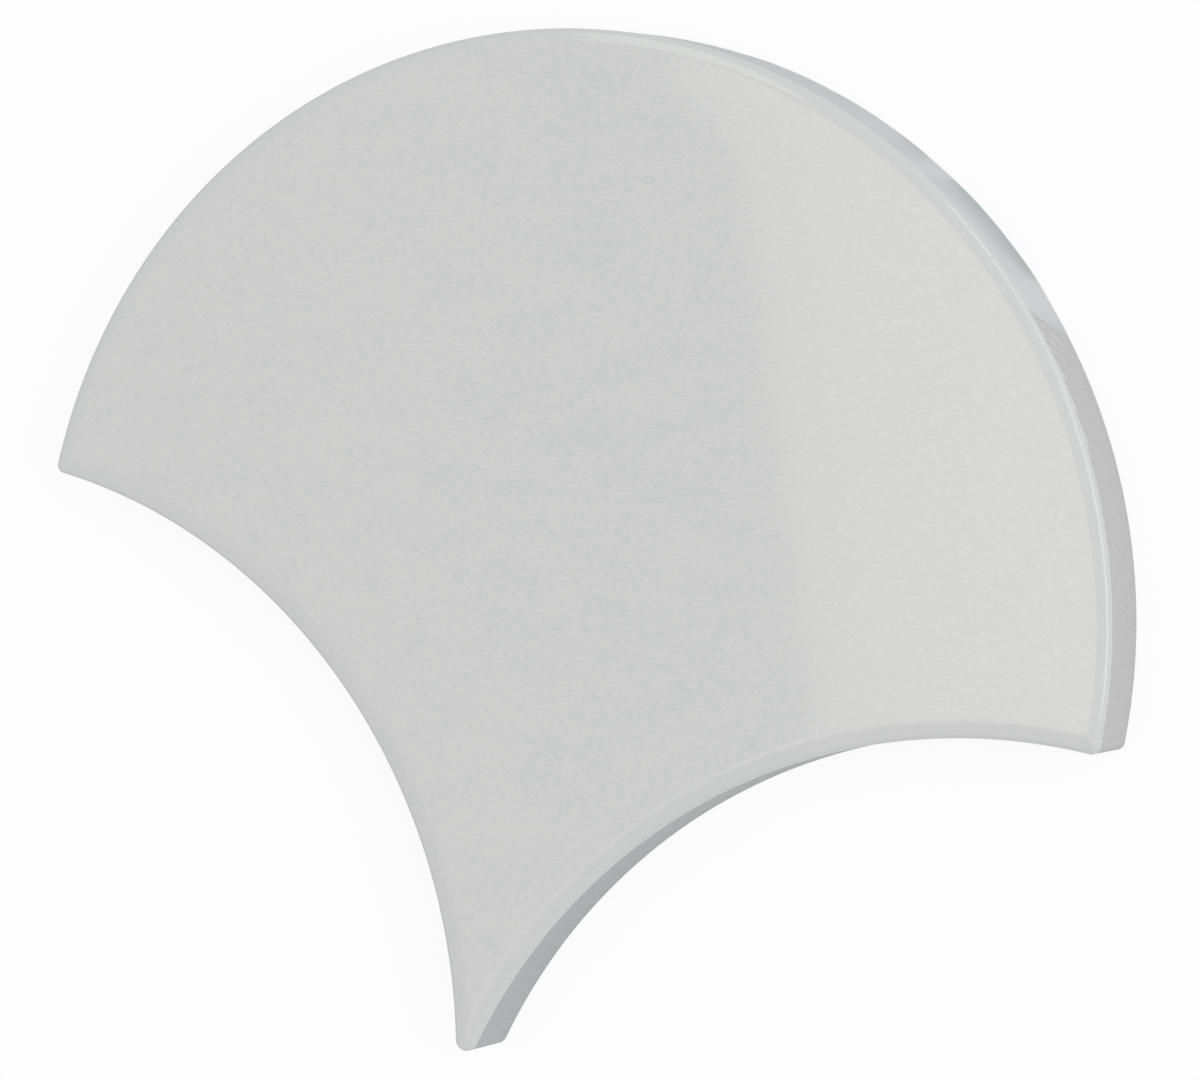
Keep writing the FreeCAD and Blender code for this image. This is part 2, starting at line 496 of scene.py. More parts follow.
    def material(self) -> bpy.types.Material:
        """Build the finish.

        Returns:
            The material of the glaze, the bare body and the line between them.
        """
        graph = FinishGraph("glazed_ceramic")
        front = 1 - self._back(graph)
        return graph.close(self._cover(graph) * front, self._body(graph, front), self._glaze(graph))

    def _back(self, graph: FinishGraph) -> Wire:
        """Return one on the back and in its keys, and none on the side and the face."""
        keyed = graph.read(Stored.BACK).ease(0.0, self.back_share)
        return keyed.at_least(1 - graph.parts(graph.place)["Z"].ease(0.0, self.back_reach))

    def _cover(self, graph: FinishGraph) -> Wire:
        """Find where glaze covers the body.

        Args:
            graph: the finish's tree.

        Returns:
            One on the glaze and none on the bare body, with an uneven edge.
        """
        waver = graph.noise(graph.place, self.edge_scale) - NOISE_MIDDLE
        edge = graph.read(Stored.GLAZE) + waver * self.edge_waver
        return edge.ease(-self.edge_softness, self.edge_softness)

    def _glaze(self, graph: FinishGraph) -> Wire:
        """Build the glossy glaze, which is dull where it ran down the side.

        Args:
            graph: the finish's tree.

        Returns:
            The shader.
        """
        height = graph.parts(graph.place)["Z"]
        colour = self._rim_tint(graph, self._mottle(graph))
        run_share = 1 - height.ease(self.run_foot, self.run_top)
        colour = graph.blend(run_share, colour, self._run_tint(graph, height))
        dullness = (1 - height.ease(self.dull_full, self.dull_start)) * self.run_dullness
        peel = graph.noise(graph.place, self.peel_scale)
        return graph.surface(colour, dullness + self.gloss, peel, self.peel_height)

    def _mottle(self, graph: FinishGraph) -> Wire:
        """Mottle the face with fine specks, clustered cool flecks and, beyond their band, pale ones.

        Args:
            graph: the finish's tree.

        Returns:
            The colour.
        """
        laid = {"Vector": graph.place, "Rotation": (0.0, 0.0, self.streak_turn), "Scale": self.streak_size}
        streaks = graph.node("ShaderNodeMapping", {"vector_type": "TEXTURE"}, laid)[0]
        fine = graph.noise(streaks, 1.0)
        cluster = (graph.noise(streaks, self.cluster_scale) - NOISE_MIDDLE) * self.cluster_share
        across = graph.vector("DOT_PRODUCT", graph.place, self.band_way)["Value"]
        beyond = across.ease(self.band_fall, self.band_end)
        band = across.ease(self.band_start, self.band_full) * self.band_share
        band = band - beyond * (self.band_share + self.clear_share)
        streak = fine + cluster + band - self.fleck_level
        fleck = streak.ease(-self.fleck_softness, self.fleck_softness)
        pale = (self.pale_level - fine).ease(-self.fleck_softness, self.fleck_softness) * beyond
        speck = graph.noise(graph.place, self.speck_scale).ease(*self.speck_range)
        colour = graph.blend(speck, self.face_dark, self.face_light)
        return graph.blend(pale, graph.blend(fleck, colour, self.fleck), self.pale)

    def _rim_tint(self, graph: FinishGraph, face: Wire) -> Wire:
        """Tint the rim, and the thin glaze over its edge, whose darker grey is partly painted shade.

        Args:
            graph: the finish's tree.
            face: the face's colour.

        Returns:
            The colour, with the rim's own grey along the crown and a darker grey in the bays, which is
            painted shade.
        """
        level = graph.parts(graph.place)["Y"]
        # Painted shade: the rim turns to a darker grey in the bays
        rim = graph.blend(level.ease(self.bay_full, self.bay_start), self.bay_rim, self.crown_rim)
        on_rim = graph.read(Stored.BORDER).ease(-self.rim_blend, self.rim_blend)
        colour = graph.blend(on_rim * self.rim_evenness, face, rim)
        # Darker edge within the reach: thin glaze, partly painted shade along the rounded edge
        return graph.blend(1 - graph.read(Stored.INSET).ease(0.0, self.thin_glaze_and_shade_reach), colour, self.thin_glaze_and_shade)

    def _run_tint(self, graph: FinishGraph, height: Wire) -> Wire:
        """Colour the run of glaze down the crown's side.

        Args:
            graph: the finish's tree.
            height: the height above the back.

        Returns:
            The colour, light on the crests and darker in the hollows, a painted shade that rises from the
            back edge.
        """
        turn = graph.turn(graph.place)
        crest = self._patches(turn, height, self.run_crests)
        # Painted shade in the hollows, darker towards the back edge
        hollow = self._patches(turn, height, self.run_shade_patches)
        return graph.blend(hollow, graph.blend(crest, self.run, self.run_crest), self.run_shade)

    def _patches(self, turn: Wire, height: Wire, patches: Sequence[RunPatch]) -> Wire:
        """Find how strongly a set of patches shows.

        Args:
            turn: the turn round the crown in degrees.
            height: the height above the back.
            patches: the patches.

        Returns:
            The strongest of the patches at each point.
        """
        shown = []
        for patch in patches:
            across = (turn - patch.turn) / patch.spread
            up = height / patch.top
            inside = 1 - (across * across + up * up).root()
            shown.append(inside.ease(0.0, patch.softness) * (1 - up) * patch.share)
        return functools.reduce(Wire.at_least, shown)

    def _body(self, graph: FinishGraph, front: Wire) -> Wire:
        """Build the matte pressed body with its fine grain.

        Args:
            graph: the finish's tree.
            front: none on the back, which has no painted shade.

        Returns:
            The shader, whose grey grows darker and cooler in the bays towards the tip, a painted shade.
        """
        grain = graph.noise(graph.place, self.grain_scale)
        share = grain.ease(*self.grain_range)
        level = graph.parts(graph.place)["Y"]
        # Painted shade: the bare side grows darker and cooler in the bays towards the tip
        bay = (1 - level.ease(self.shade_full, self.shade_start)) * front
        crown_grey = graph.blend(share, self.body_dark, self.body_light)
        shaded_bay_grey = graph.blend(share, self.shaded_bay_dark, self.shaded_bay_light)
        colour = graph.blend(self._scratches(graph), graph.blend(bay, crown_grey, shaded_bay_grey), self.scratch)
        return graph.surface(colour, self.body_roughness, grain, self.grain_height)

    def _scratches(self, graph: FinishGraph) -> Wire:
        """Find the scratches on the crown's bare side.

        Args:
            graph: the finish's tree.

        Returns:
            One on a scratch and none beside it.
        """
        turn, height = graph.turn(graph.place), graph.parts(graph.place)["Z"]
        round_way, up_way = math.cos(self.scratch_slope), math.sin(self.scratch_slope)
        arc = self.crown_radius * math.radians(1.0)
        down = 0 - (turn * (arc * round_way) + height * up_way)
        beside = turn * (arc * up_way) - height * round_way
        shown = []
        for scratch in self.scratches:
            from_end = down + (scratch.turn * arc * round_way + scratch.height * up_way)
            off = graph.math("ABSOLUTE", beside - (scratch.turn * arc * up_way - scratch.height * round_way))
            reach = from_end.ease(0.0, self.scratch_fade)
            reach = reach * (1 - from_end.ease(scratch.length - self.scratch_fade, scratch.length))
            shown.append(reach * (1 - off.ease(0.0, self.scratch_width)))
        return functools.reduce(Wire.at_least, shown)


@dataclass(frozen=True)
class PaleFloor:
    """Even, almost white studio paper, seen lit from behind."""

    light: Colour = (0.95, 0.95, 0.95, 1.0)
    shade: Colour = (0.93, 0.93, 0.93, 1.0)
    white: Colour = (1.0, 1.0, 1.0, 1.0)
    roughness: float = 0.95
    fibre_scale: float = 900.0
    glow_share: float = 0.88

    def material(self) -> bpy.types.Material:
        """Build the finish.

        Returns:
            The material: paper for the light that falls on it, and part white glow for the eye and mirrors.
        """
        graph = FinishGraph("studio_paper")
        fibre = graph.noise(graph.place, self.fibre_scale)
        sockets = {"Base Color": graph.blend(fibre, self.shade, self.light), "Roughness": self.roughness}
        paper = graph.node("ShaderNodeBsdfPrincipled", None, sockets)[0]
        glow = graph.node("ShaderNodeEmission", None, {"Color": self.white, "Strength": 1.0})[0]
        path = graph.node("ShaderNodeLightPath")
        seen = path["Is Camera Ray"] + path["Is Glossy Ray"] + path["Is Transmission Ray"]
        return graph.close(seen.at_most(1.0) * self.glow_share, paper, glow)


@dataclass(frozen=True)
class Arc:
    """One arc of the outline, run anticlockwise round the tile."""

    centre: Vector
    radius: float
    start: float
    end: float
    points: int
    hollow: bool = False

    def trace(self) -> list[tuple[Vector, Vector]]:
        """Trace the arc.

        Returns:
            Its points, each with the direction out of the tile, without the last one.
        """
        traced = []
        for step in range(self.points):
            turn = self.start + (self.end - self.start) * step / self.points
            spoke = Vector((math.cos(turn), math.sin(turn)))
            traced.append((self.centre + spoke * self.radius, -spoke if self.hollow else spoke))
        return traced


@dataclass(frozen=True)
class ScaleOutline:
    """The fish scale seen from above: a round crown, two bays for the crowns below, and a tip."""

    crown_radius: float = 60.0 * MM
    joint: float = 1.5 * MM
    tip_radius: float = 1.2 * MM
    shoulder_radius: float = 0.9 * MM
    mitre_radius: float = 0.2 * MM
    crown_points: int = 380
    bay_points: int = 160
    tip_points: int = 18
    shoulder_points: int = 14

    @property
    def bay_radius(self) -> float:
        """Radius of a bay, which clears the next tile's crown by the joint."""
        return self.crown_radius + self.joint

    @property
    def bay_centres(self) -> tuple[Vector, Vector]:
        """Centres of the left and the right bay."""
        offset = self.crown_radius + self.joint / 2
        return Vector((-offset, -offset)), Vector((offset, -offset))

    def arcs(self, crown_inset: float, bay_inset: float) -> list[Arc]:
        """Work out the outline drawn in by an inset.

        Args:
            crown_inset: how far the line lies inside the crown.
            bay_inset: how far the line lies inside the bays.

        Returns:
            The six tangent arcs, from the right shoulder over the crown.
        """
        crown = self.crown_radius - crown_inset
        bay = self.bay_radius + bay_inset
        shoulder = max(self.shoulder_radius - bay_inset, self.mitre_radius)
        tip = max(self.tip_radius - bay_inset, self.mitre_radius)
        left, right = self.bay_centres
        middle = Vector((0, 0))

        # The shoulder touches the crown from inside and the bay from outside
        to_crown = crown - shoulder
        to_bay = bay + shoulder
        span = right.length
        along = (to_crown**2 - to_bay**2 + span**2) / (2 * span)
        turn = _heading(middle, right) + math.acos(along / to_crown)
        right_shoulder = Vector((to_crown * math.cos(turn), to_crown * math.sin(turn)))
        left_shoulder = Vector((-right_shoulder.x, right_shoulder.y))
        tip_centre = Vector((0, math.sqrt((bay + tip) ** 2 - right.x**2) + right.y))

        at_shoulder = _heading(left, left_shoulder)
        at_tip = _heading(left, tip_centre)
        rounds = self.shoulder_points
        return [
            Arc(middle, crown, turn, math.pi - turn, self.crown_points),
            Arc(left_shoulder, shoulder, math.pi - turn, FULL_TURN + _heading(left_shoulder, left), rounds),
            Arc(left, bay, at_shoulder, at_tip, self.bay_points, hollow=True),
            Arc(tip_centre, tip, math.pi + at_tip, FULL_TURN - at_tip, self.tip_points),
            Arc(right, bay, math.pi - at_tip, math.pi - at_shoulder, self.bay_points, hollow=True),
            Arc(right_shoulder, shoulder, _heading(right_shoulder, right), turn, rounds),
        ]

    def ring(self, crown_inset: float, bay_inset: float) -> list[tuple[Vector, Vector, float]]:
        """Trace the outline drawn in by an inset.

        Args:
            crown_inset: how far the line lies inside the crown.
            bay_inset: how far the line lies inside the bays.

        Returns:
            Each point with its outward direction and its share of the bay, from none to all.
        """
        crown, left_shoulder, left_bay, tip, right_bay, right_shoulder = self.arcs(crown_inset, bay_inset)
        rounds = self.shoulder_points
        traced = [(*spot, 0.0) for spot in crown.trace()]
        traced += [(*spot, step / rounds) for step, spot in enumerate(left_shoulder.trace())]
        traced += [(*spot, 1.0) for arc in (left_bay, tip, right_bay) for spot in arc.trace()]
        traced += [(*spot, 1 - step / rounds) for step, spot in enumerate(right_shoulder.trace())]
        return traced

    def depths(self, point: Vector) -> tuple[float, float]:
        """Return how far a point in plan lies inside the crown, and inside the nearer bay."""
        from_bays = min((point - centre).length for centre in self.bay_centres) - self.bay_radius
        return self.crown_radius - point.length, from_bays


def _heading(tail: Vector, head: Vector) -> float:
    """Return the angle of the line from one point to another."""
    return math.atan2(head.y - tail.y, head.x - tail.x)


@dataclass
class Net:
    """The tile's mesh before it is raised: points in plan, with the values that its form needs."""

    points: list[Vector] = field(default_factory=list)
    faces: list[list[int]] = field(default_factory=list)
    outwards: list[Vector] = field(default_factory=list)
    values: dict[Stored, list[float]] = field(default_factory=lambda: {key: [] for key in NET_VALUES})

    def add(self, point: Vector, outward: Vector, *values: float) -> int:
        """Add a point.

        Args:
            point: its place in plan.
            outward: the direction out of the tile.
            values: its inset, border, break, bulge and rise.

        Returns:
            The point's number.
        """
        self.points.append(point)
        self.outwards.append(outward)
        for column, value in zip(self.values.values(), values, strict=True):
            column.append(value)
        return len(self.points) - 1

    def object(self, name: str) -> bpy.types.Object:
        """Put the net into the scene.

        Args:
            name: the piece's name.

        Returns:
            The object.
        """
        mesh = bpy.data.meshes.new(name)
        mesh.from_pydata([(point.x, point.y, 0.0) for point in self.points], [], self.faces)
        for stored, values in self.values.items():
            mesh.attributes.new(stored.value, "FLOAT", "POINT").data.foreach_set("value", values)
        outward = mesh.attributes.new(Stored.OUTWARD.value, "FLOAT_VECTOR", "POINT")
        outward.data.foreach_set("vector", [part for way in self.outwards for part in (way.x, way.y, 0.0)])
        piece = bpy.data.objects.new(name, mesh)
        bpy.context.scene.collection.objects.link(piece)
        return piece


@dataclass(frozen=True)
class RimBand:
    """The bevel along one kind of edge: its width, how softly it breaks from the face, and its bulge."""

    width: float
    softness: float
    bulge: float

    def towards(self, other: RimBand, share: float) -> RimBand:
        """Pass into another band.

        Args:
            other: the other band.
            share: how much of it shows.

        Returns:
            The band between the two.
        """
        return RimBand(
            self.width + (other.width - self.width) * share,
            self.softness + (other.softness - self.softness) * share,
            self.bulge + (other.bulge - self.bulge) * share,
        )


@dataclass
class ScaleTile:
    """The tile: its side, rounded and bevelled rim, face and keyed back, raised from a net by rule.

    Turns round the crown and their spreads are in degrees, and waves are noise waves to a metre.
    """

    outline: ScaleOutline = field(default_factory=ScaleOutline)
    finish: GlazedCeramic = field(default_factory=GlazedCeramic)
    crown_rim: RimBand = RimBand(1.37 * MM, 0.05, 0.4)
    bay_rim: RimBand = RimBand(1.95 * MM, 0.15, 0.1)
    thickness: float = 8.5 * MM
    bevel_drop: float = 0.23 * MM
    rim_waver: float = 0.12
    rim_wave: float = 90.0
    edge_radius: float = 0.52 * MM
    back_radius: float = 0.3 * MM
    crease_angle: float = math.radians(24.0)
    seed: float = 7.0

    # Lower edge of the glaze: a lip with a small step in to the body, and drips below the end of the run
    lip_height: float = 0.15 * MM
    lip_waver: float = 0.12 * MM
    lip_wave: float = 160.0
    lip_detail: float = 3.0
    lip_step: float = 0.03 * MM
    step_below: float = 0.12 * MM
    step_above: float = 0.06 * MM
    drip_from: float = 30.4
    drip_to: float = 40.3
    drip_pitch: float = 3.3
    drip_depth: float = 0.7 * MM

    # Run of glaze on the crown's side
    run_start: float = 42.8
    run_end: float = 118.0
    run_lean: float = 3.2
    run_pivot: float = 0.5
    run_waver: float = 1.2
    run_wave: float = 420.0
    run_swell: float = 0.2 * MM
    swell_wave: float = 90.0
    swell_detail: float = 1.0
    swell_from: float = 44.0
    swell_to: float = 87.0
    swell_fade: float = 4.0
    swell_top: float = 2.0 * MM

    # Keys in the back
    key_width: float = 4.0 * MM
    key_pitch: float = 8.0 * MM
    key_depth: float = 0.6 * MM
    key_border: float = 7.0 * MM
    key_draft: float = math.tan(math.radians(30.0))
    key_rows: int = 9
    key_corners: int = 42
    first_row: float = -2.5

    # Rows and grid of the net
    side_rows: int = 16
    lip_rows: int = 10
    lip_band: float = 0.8 * MM
    arris_rows: int = 5
    edge_rows: int = 10
    bevel_rows: int = 5
    break_rows: int = 14
    break_reach: float = 0.3
    rim_rise: float = 0.999
    shy: float = 0.02 * MM
    face_grid: float = 2.5 * MM

    @property
    def foot(self) -> float:
        """Height at which the rim meets the side."""
        return self.thickness - self.bevel_drop - self.edge_radius

    def build(self) -> bpy.types.Object:
        """Make the tile.

        Returns:
            The finished piece.
        """
        piece = self._net().object("scale_tile")
        self._form().make(piece)
        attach(piece, "root")
        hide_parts("tile")
        return piece

    def _rises(self) -> list[float]:
        """Set out the side's rows.

        Returns:
            Their heights as shares of the side, from the back to the rim.
        """
        turns = [QUARTER_TURN * row / self.arris_rows for row in range(self.arris_rows)]
        arris = [self.back_radius * (1 - math.cos(turn)) for turn in turns]
        low, high = self.back_radius, self.foot - self.lip_band
        side = [low + (high - low) * row / self.side_rows for row in range(self.side_rows)]
        lip = [high + self.lip_band * row / self.lip_rows for row in range(self.lip_rows)]
        return [level / self.foot for level in (*arris, *side, *lip)]

    def _shares(self) -> list[float]:
        """Set out the bevel's rows.

        Returns:
            Their places, from none at the edge's round to more than all in the face.
        """
        low, high = 1 - self.break_reach, 1 + self.break_reach
        bevel = [low * row / self.bevel_rows for row in range(self.bevel_rows)]
        fold = [low + (high - low) * row / self.break_rows for row in range(self.break_rows + 1)]
        return [*bevel, *fold]

    def _row(self, net: Net, crown_inset: float, bay_inset: float, rise: float) -> list[int]:
        """Lay one row of points round the tile.

        Args:
            net: the net that gets the points.
            crown_inset: how far the row lies inside the crown.
            bay_inset: how far the row lies inside the bays.
            rise: the row's height as a share of the side.

        Returns:
            The numbers of the row's points.
        """
        row = []
        for point, outward, bay in self.outline.ring(crown_inset, bay_inset):
            inset = crown_inset + (bay_inset - crown_inset) * bay
            rim = self.crown_rim.towards(self.bay_rim, bay)
            row.append(net.add(point, outward, inset, 1 - inset / rim.width, rim.softness, rim.bulge, rise))
        return row

    def _net(self) -> Net:
        """Lay out the tile's rows and its face in plan.

        Returns:
            The net.
        """
        net = Net()
        rows = [self._row(net, self.shy, self.shy, rise) for rise in self._rises()]
        for step in range(self.edge_rows):
            inset = self.shy + self.edge_radius * (1 - math.cos(QUARTER_TURN * step / self.edge_rows))
            rows.append(self._row(net, inset, inset, 1.0))
        start = self.shy + self.edge_radius
        for share in self._shares():
            insets = [start + (rim.width - start) * share for rim in (self.crown_rim, self.bay_rim)]
            rows.append(self._row(net, *insets, 1.0))
        for below, above in zip(rows, rows[1:]):
            for index, corner in enumerate(below):
                net.faces.append([below[index - 1], corner, above[index], above[index - 1]])
        net.faces.append(rows[0][::-1])
        self._fill_face(net, rows[-1])
        return net

    def _face_points(self) -> list[Vector]:
        """Set out a staggered grid over the face.

        Returns:
            Its points, clear of the rim.
        """
        reach = math.ceil(self.outline.crown_radius / self.face_grid)
        clear = self.face_grid / 2 + self.break_reach * self.bay_rim.width
        points = []
        for column, row in itertools.product(range(-reach, reach + 1), repeat=2):
            point = Vector(((column + row % 2 / 2) * self.face_grid, row * self.face_grid))
            from_crown, from_bay = self.outline.depths(point)
            if from_crown > self.crown_rim.width + clear and from_bay > self.bay_rim.width + clear:
                points.append(point)
        return points

    def _fill_face(self, net: Net, border: list[int]) -> None:
        """Fill the face inside its border with small triangles.

        Args:
            net: the net that gets the triangles.
            border: numbers of the border's points, anticlockwise.
        """
        plan = [net.points[number] for number in border] + self._face_points()
        sides = [(index, (index + 1) % len(border)) for index in range(len(border))]
        spots, _, triangles, origins, _, _ = delaunay_2d_cdt(plan, sides, [], INSIDE_ONLY, SAME_POINT)
        numbers = []
        for spot, sources in zip(spots, origins):
            if sources and sources[0] < len(border):
                numbers.append(border[sources[0]])
            else:
                from_crown, from_bay = self.outline.depths(spot)
                borders = 1 - from_crown / self.crown_rim.width, 1 - from_bay / self.bay_rim.width
                inset = min(from_crown, from_bay)
                values = inset, max(borders), self.crown_rim.softness, self.crown_rim.bulge, 1.0
                numbers.append(net.add(spot, Vector((0, 0)), *values))
        net.faces.extend([numbers[corner] for corner in triangle] for triangle in triangles)

    def _form(self) -> FormGraph:
        """Build the tree that raises the net to the tile and cuts the keys into its back.

        Returns:
            The tree.
        """
        form = FormGraph("tile_form")
        meshes = {"Mesh 1": self._raise(form), "Mesh 2": self._keys(form)}
        cutting = {"operation": "DIFFERENCE", "solver": "MANIFOLD"}
        cut = form.node("GeometryNodeMeshBoolean", cutting, meshes)["Mesh"]

        # Smooth faces, parted along the creases
        smooth = form.node("GeometryNodeSetShadeSmooth", {"domain": "FACE"}, {"Geometry": cut})[0]
        fold = form.node("GeometryNodeInputMeshEdgeAngle")["Unsigned Angle"]
        crease = fold > form.size("Sharp Angle", self.crease_angle)
        parting = {"Geometry": smooth, "Selection": crease, "Shade Smooth": False}
        creased = form.node("GeometryNodeSetShadeSmooth", {"domain": "EDGE"}, parting)[0]

        # The wide faces at the back are cut into triangles
        corners = form.node("GeometryNodeInputMeshFaceNeighbors")["Vertex Count"]
        wide = {"Mesh": creased, "Selection": corners > QUAD_CORNERS}
        parted = form.node("GeometryNodeTriangulate", None, wide)[0]
        whole = form.node("GeometryNodeRealizeInstances", None, {"Geometry": parted})[0]
        dressing = {"Geometry": whole, "Material": self.finish.material()}
        form.close(form.node("GeometryNodeSetMaterial", None, dressing)[0])
        return form

    def _raise(self, form: FormGraph) -> Wire:
        """Set every point of the net to its height and draw the bare side in behind the glaze's lip.

        Args:
            form: the tree.

        Returns:
            The raised mesh, which carries the glaze's reach.
        """
        inset, rise = form.read(Stored.INSET), form.read(Stored.RISE)
        border, fold, bulge = form.read(Stored.BORDER), form.read(Stored.BREAK), form.read(Stored.BULGE)
        thickness = form.size("Thickness", self.thickness)
        drop = form.size("Bevel Drop", self.bevel_drop)
        edge = form.size("Edge Radius", self.edge_radius)
        back = form.size("Back Radius", self.back_radius)
        seed = form.size("Seed", self.seed)

        # Rim: a shallow bulging bevel that breaks from the face, and a small round down to the side
        waver = form.noise(form.position, self.rim_wave, seed=seed) - NOISE_MIDDLE
        border = border + waver * form.size("Rim Waver", self.rim_waver)
        past = (border + (border * border + fold * fold).root()) / 2
        bevel = drop * past * (1 - bulge + bulge * past)
        short = (edge - inset + form.size("Shy", self.shy)).at_least(0.0)
        roll = edge - (edge * edge - short * short).root()
        foot = thickness - drop - edge
        rim = (thickness - bevel - roll - foot) * (rise > self.rim_rise)
        level = rise * foot + rim

        # Side: the arris at the back, and the step in below the edge of the glaze
        low = (back - level).at_least(0.0)
        arris = back - (back * back - low * low).root()
        reach = self._glaze_reach(form, level, foot, seed)
        bare = 1 - reach.ease(-self.step_below, self.step_above)
        draw = arris + bare * form.size("Lip Step", self.lip_step) - self._swell(form, level, foot, seed)

        drawn = form.scaled(form.read(Stored.OUTWARD, "FLOAT_VECTOR"), draw)
        plan = form.vector("SUBTRACT", form.position, drawn)[0]
        raised = form.vector("ADD", plan, form.joined(Z=level))[0]
        stored = form.store(form.entry["Geometry"], Stored.GLAZE, reach)
        return form.node("GeometryNodeSetPosition", None, {"Geometry": stored, "Position": raised})[0]

    def _glaze_reach(self, form: FormGraph, level: Wire, foot: Wire, seed: Wire) -> Wire:
        """Work out how far the glaze reaches past each point, below zero where the body is bare.

        Args:
            form: the tree.
            level: the point's height.
            foot: the height at which the rim meets the side.
            seed: the seed of the uneven edges.

        Returns:
            The reach over the rim's lip or over the run down the crown's side, whichever is more.
        """
        waver = form.noise(form.position, self.lip_wave, self.lip_detail, seed) - NOISE_MIDDLE
        lip = form.size("Lip Height", self.lip_height) + waver * form.size("Lip Waver", self.lip_waver)

        # Short slanting drips hang from the lip below the end of the run
        turn = form.turn(form.position)
        drip = form.math("FRACT", (self.drip_to - turn) / form.size("Drip Pitch", self.drip_pitch))
        drip = drip * (turn > self.drip_from) * (1 - (turn > self.drip_to))
        over_lip = level - foot + lip + drip * form.size("Drip Depth", self.drip_depth)

        # The run of glaze lies on the crown's side between two slanting, uneven ends
        parts = form.parts(form.position)
        wall = form.joined(X=parts["X"], Y=parts["Y"], Z=level)
        ragged = form.noise(wall, self.run_wave, seed=seed) - NOISE_MIDDLE
        ragged = ragged * form.size("Run Waver", self.run_waver)
        lean = (level / foot - self.run_pivot) * form.size("Run Lean", self.run_lean)
        start = turn - (form.size("Run Start", self.run_start) + lean + ragged)
        end = form.size("Run End", self.run_end) - lean + ragged - turn
        over_run = start.at_most(end) * (self.outline.crown_radius * math.radians(1.0))
        return over_lip.at_least(over_run)

    def _swell(self, form: FormGraph, level: Wire, foot: Wire, seed: Wire) -> Wire:
        """Work out how far the thick run of glaze stands out from the crown's side.

        Args:
            form: the tree.
            level: the point's height.
            foot: the height at which the rim meets the side.
            seed: the seed of the uneven thickness.

        Returns:
            The swelling, none at the rim and outside the run.
        """
        turn = form.turn(form.position)
        wave = form.noise(form.position, self.swell_wave, self.swell_detail, seed)
        begun = turn.ease(self.swell_from, self.swell_from + self.swell_fade)
        ended = turn.ease(self.swell_to - self.swell_fade, self.swell_to)
        below = (foot - level).ease(0.0, self.swell_top)
        return wave * begun * (1 - ended) * below * form.size("Run Swell", self.run_swell)

    def _keys(self, form: FormGraph) -> Wire:
        """Lay out the cutters of the keys, one drafted peg for each row, pulled out to both sides.

        Args:
            form: the tree.

        Returns:
            The cutters, which mark what they cut as back.
        """
        width = form.size("Key Width", self.key_width)
        pitch = form.size("Key Pitch", self.key_pitch)
        rows = form.size("Key Rows", self.key_rows, "NodeSocketInt")
        start, step = form.joined(Y=pitch * self.first_row), form.joined(Y=pitch)
        lined = {"Count": rows, "Start Location": start, "Offset": step}
        line = form.node("GeometryNodeMeshLine", None, lined)[0]
        points = form.store(line, Stored.REACH, self._key_reach(form, width))
        set_out = {"Points": points, "Instance": self._peg(form, width)}
        pegs = form.node("GeometryNodeInstanceOnPoints", None, set_out)[0]
        loose = form.node("GeometryNodeRealizeInstances", None, {"Geometry": pegs})[0]
        side = form.math("SIGN", form.parts(form.position)["X"])
        pull = form.joined(X=side * form.read(Stored.REACH))
        return form.node("GeometryNodeSetPosition", None, {"Geometry": loose, "Offset": pull})[0]

    def _key_reach(self, form: FormGraph, width: Wire) -> Wire:
        """Work out how far a key reaches to each side.

        Args:
            form: the tree.
            width: the key's width.

        Returns:
            The reach to the middle of its round end, clear of the crown and the bays.
        """
        clear = form.size("Key Border", self.key_border) + width / 2
        crown = form.size("Crown Radius", self.outline.crown_radius)
        joint = form.size("Joint", self.outline.joint)
        row = form.parts(form.position)["Y"]
        round_reach = crown - clear
        crown_reach = (round_reach * round_reach - row * row).root()
        offset = crown + joint / 2
        bay = crown + joint + clear
        rise = row + offset
        bay_reach = offset - (bay * bay - rise * rise).root()
        return crown_reach.at_most(bay_reach)

    def _peg(self, form: FormGraph, width: Wire) -> Wire:
        """Make the drafted peg that a key's cutter is pulled out from.

        Args:
            form: the tree.
            width: the key's width.

        Returns:
            The peg, whose middle lies in the back's plane.
        """
        depth = form.size("Key Depth", self.key_depth)
        taper = depth * form.size("Key Draft", self.key_draft)
        sizes = {
            "Vertices": self.key_corners,
            "Radius Top": width / 2 - taper,
            "Radius Bottom": width / 2 + taper,
            "Depth": depth * 2,
        }
        cone = form.node("GeometryNodeMeshCone", None, sizes)["Mesh"]
        half_corner = (0.0, 0.0, math.pi / self.key_corners)
        place = {"Geometry": cone, "Translation": form.joined(Z=0 - depth), "Rotation": half_corner}
        return form.store(form.node("GeometryNodeTransform", None, place)[0], Stored.BACK, 1.0)


